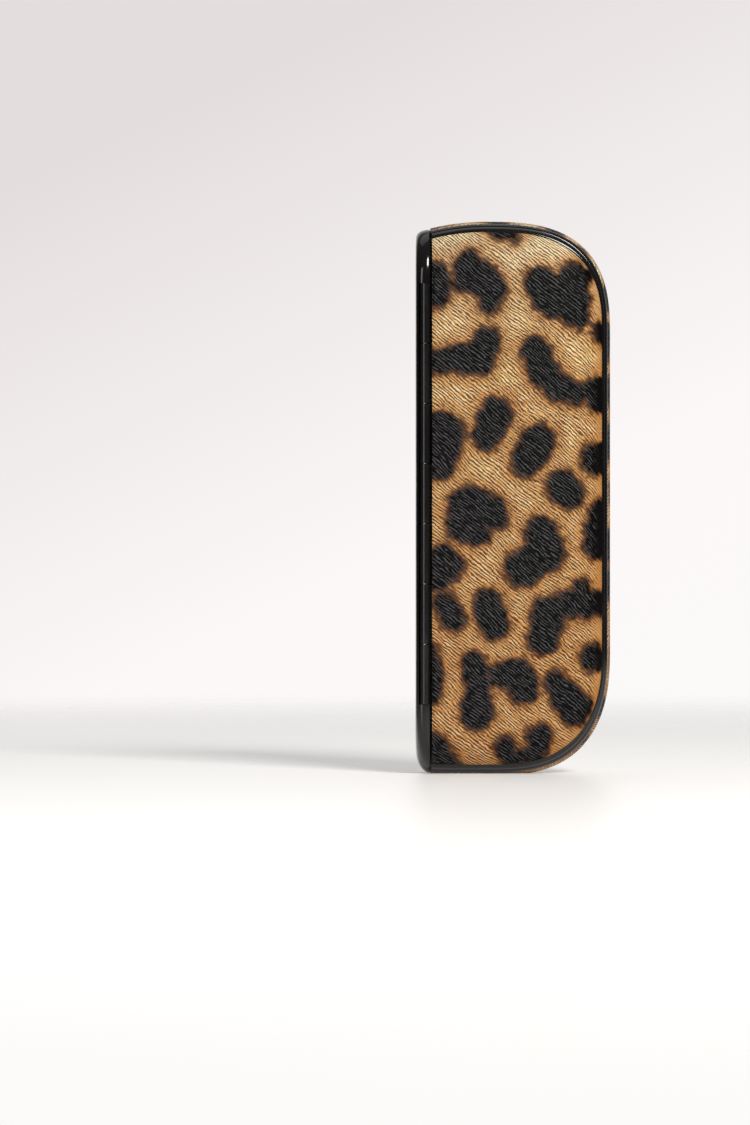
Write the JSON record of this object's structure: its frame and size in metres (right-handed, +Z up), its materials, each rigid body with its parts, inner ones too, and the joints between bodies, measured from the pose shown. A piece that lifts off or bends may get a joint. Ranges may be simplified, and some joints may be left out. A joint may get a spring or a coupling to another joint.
{
  "type": "slant tweezers in case",
  "caption": "Slant tweezers in a slim upright clamshell case with an arched top, leopard leather covers, black edge beads, a barrel hinge and a mirror in the lid.",
  "frame": {"origin": "middle of the footprint, on the surface that the case stands on", "axes": "+X from the hinged spine to the free edge, -Y out of the lid, +Z up"},
  "size_m": [0.0406, 0.0188, 0.115],
  "materials": {
    "leopard_leather": "embossed grain with a printed leopard pattern, satin",
    "gloss_black": "polished lacquer",
    "black_plastic": "moulded matte",
    "black_metal": "gloss black enamel",
    "steel": "polished",
    "brushed_steel": "satin, brushed along the length",
    "magnet_nickel": "nickel plate",
    "black_flock": "short flock on foam",
    "foam_pad": "adhesive foam",
    "mirror": "silvered glass"
  },
  "bodies": {
    "base": {"base_leather": "leopard_leather", "base_shell": "black_plastic", "base_bezel": "gloss_black", "spine_frame": "gloss_black", "spine_leather": "leopard_leather", "base_hinge_leaf": "black_metal", "hinge_pin": "steel", "hinge_screws": "steel", "nest_tray": "black_flock", "nest_magnet": "magnet_nickel", "catch_magnets": "magnet_nickel"},
    "lid": {"lid_leather": "leopard_leather", "lid_shell": "black_plastic", "lid_bezel": "gloss_black", "lid_hinge_leaf": "black_metal", "lid_leaf_screws": "steel", "mirror_frame": "black_plastic", "mirror_pad": "foam_pad", "mirror_glass": "mirror", "catch_plates": "steel"},
    "tweezers": {"tweezer_heel": "brushed_steel"},
    "arm_front": {"tweezer_arm_front": "brushed_steel"},
    "arm_rear": {"tweezer_arm_rear": "brushed_steel"}
  },
  "joints": [
    {"name": "lid_hinge", "type": "hinge", "parent": "base", "child": "lid", "pos_m": [-0.0185, -0.0082, 0.0565], "axis": [0, 0, -1], "range_deg": [0, 110]},
    {"name": "tweezer_slide", "type": "slide", "parent": "base", "child": "tweezers", "axis": [0, 0, 1], "range_m": [0, 0.0048]},
    {"name": "pinch_front", "type": "hinge", "parent": "tweezers", "child": "arm_front", "pos_m": [-0.0011, -0.00072, 0.0913], "axis": [1, 0, 0], "range_deg": [0, 1.2], "stiffness_Nm_per_rad": 0.8},
    {"name": "pinch_rear", "type": "hinge", "parent": "tweezers", "child": "arm_rear", "pos_m": [-0.0011, 0.00052, 0.0913], "axis": [-1, 0, 0], "range_deg": [0, 1.2], "stiffness_Nm_per_rad": 0.8}
  ],
  "couplings": [
    {"joint": "pinch_rear", "follows": "pinch_front", "ratio": 1}
  ]
}
